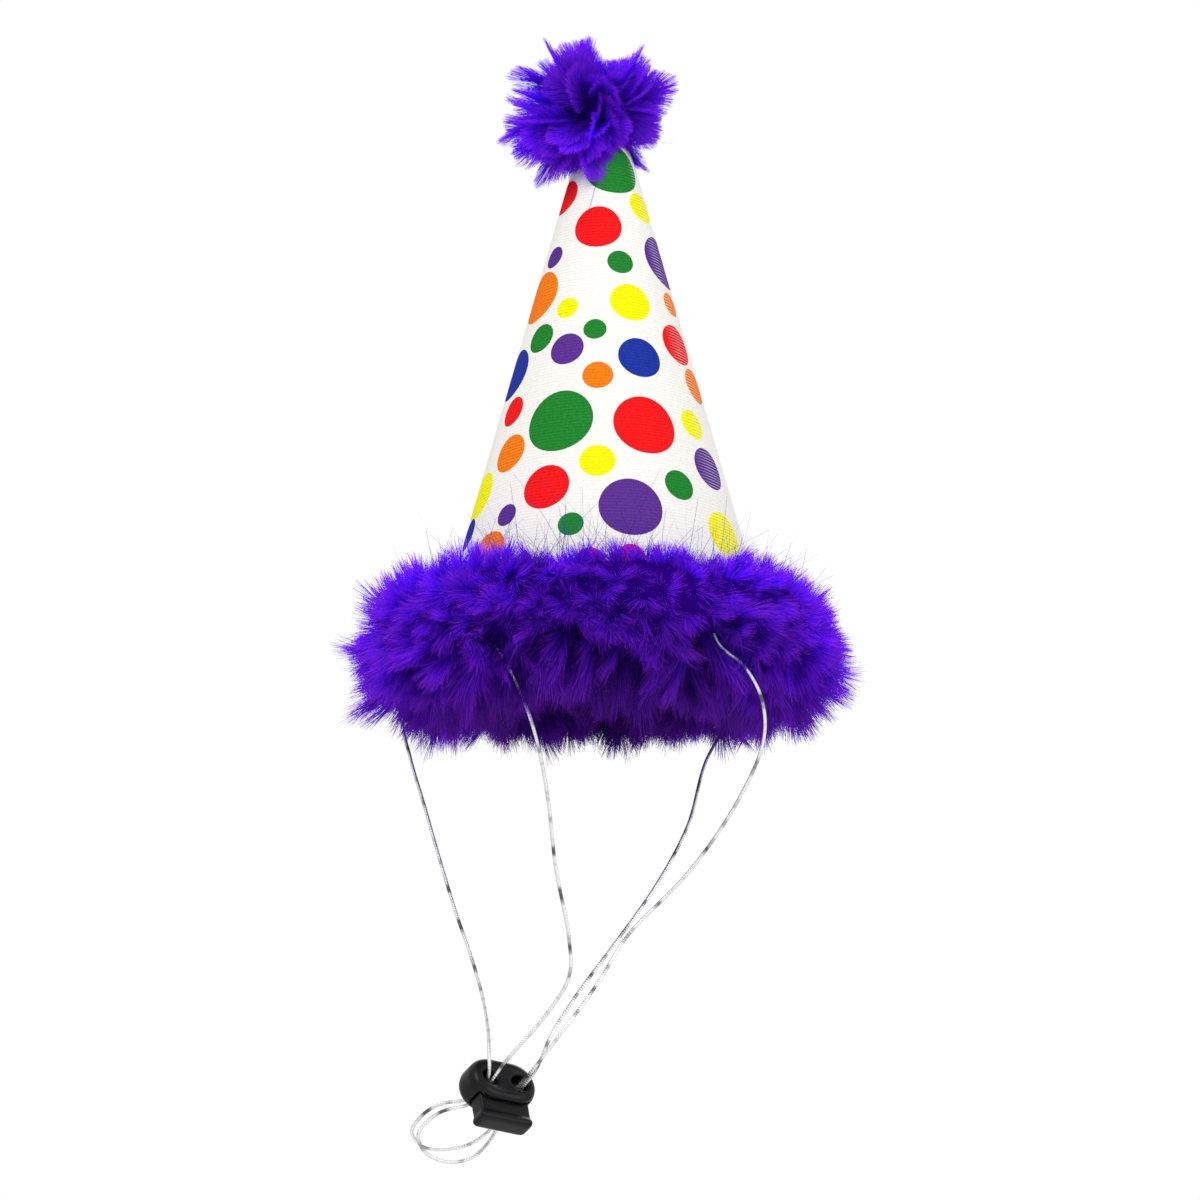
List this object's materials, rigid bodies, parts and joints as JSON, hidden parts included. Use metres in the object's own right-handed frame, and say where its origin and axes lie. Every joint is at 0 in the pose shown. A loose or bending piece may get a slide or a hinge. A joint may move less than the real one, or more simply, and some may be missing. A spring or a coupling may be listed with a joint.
{
  "type": "dog party hat",
  "caption": "Cloth cone hat with polka dots, a feather brim and pompom, and elastic chin cords drawn through a spring cord lock.",
  "frame": {"origin": "centre of the opening in the plane of the cone's lower edge, where the head sits", "axes": "+Z along the hat to its tip, -Y the front of the hat, +X the viewer's right"},
  "size_m": [0.1445, 0.1425, 0.3307],
  "materials": {
    "printed_cloth": "cream woven cloth printed with polka dots",
    "feathers": "fluffy violet marabou feathers",
    "silver_elastic": "metallic silver braid over an elastic core",
    "black_plastic": "semi-gloss black"
  },
  "bodies": {
    "hat": {"cone_shell": "printed_cloth", "brim_feathers": "feathers", "pompom_feathers": "feathers", "elastic_front": "silver_elastic", "elastic_rear": "silver_elastic", "knot_front_left": "silver_elastic", "knot_front_right": "silver_elastic", "knot_rear_left": "silver_elastic", "knot_rear_right": "silver_elastic", "lock_barrel": "black_plastic"},
    "plunger": {"lock_plunger": "black_plastic"}
  },
  "joints": [
    {"name": "plunger_press", "type": "slide", "parent": "hat", "child": "plunger", "axis": [-0.1519, 0.3688, 0.917], "range_m": [0, 0.003], "stiffness_N_per_m": 800, "springref_m": -0.004}
  ]
}
